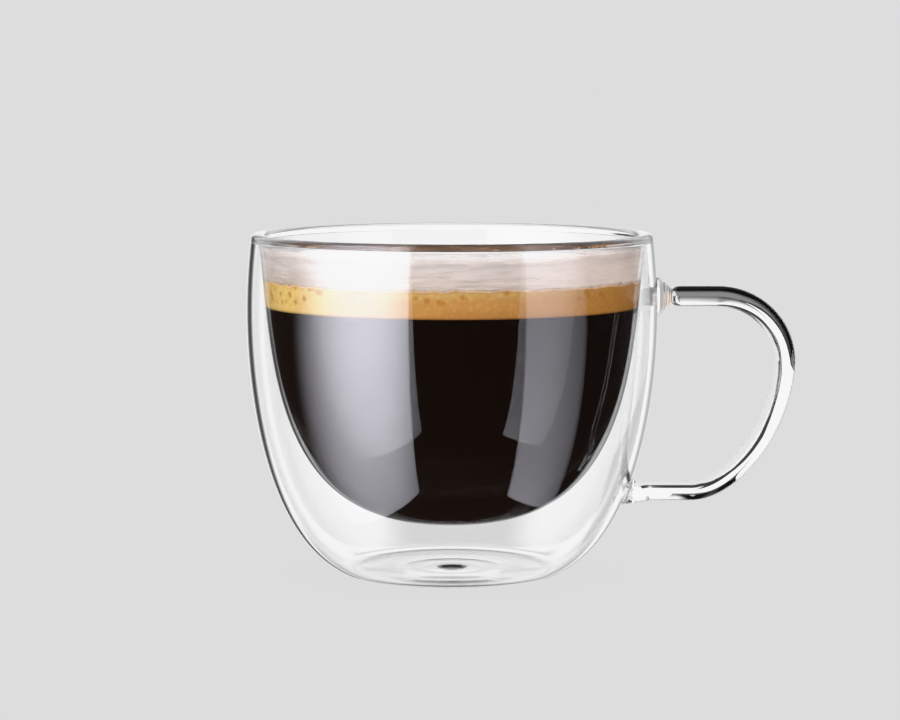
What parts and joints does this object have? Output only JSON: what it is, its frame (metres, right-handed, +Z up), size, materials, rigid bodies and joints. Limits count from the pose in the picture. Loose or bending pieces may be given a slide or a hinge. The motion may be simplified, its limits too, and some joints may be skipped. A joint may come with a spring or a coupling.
{
  "type": "glass cup of black coffee with crema",
  "caption": "Clear double-walled glass cup with a rod handle, filled with black coffee under a thick golden crema.",
  "frame": {"origin": "centre of the flat foot's underside, on the cup's axis, where the cup rests", "axes": "+Z up along the cup's axis, +X towards the handle, +Y away from the viewer of the picture"},
  "size_m": [0.1276, 0.0954, 0.0793],
  "materials": {
    "glass": "clear blown borosilicate glass, fire-polished",
    "coffee": "black coffee, near opaque liquid",
    "crema": "golden brown coffee foam with fine bubbles"
  },
  "bodies": {
    "root": {"glass": "glass", "seal_bead": "glass", "coffee": "coffee", "crema": "crema"}
  },
  "joints": []
}
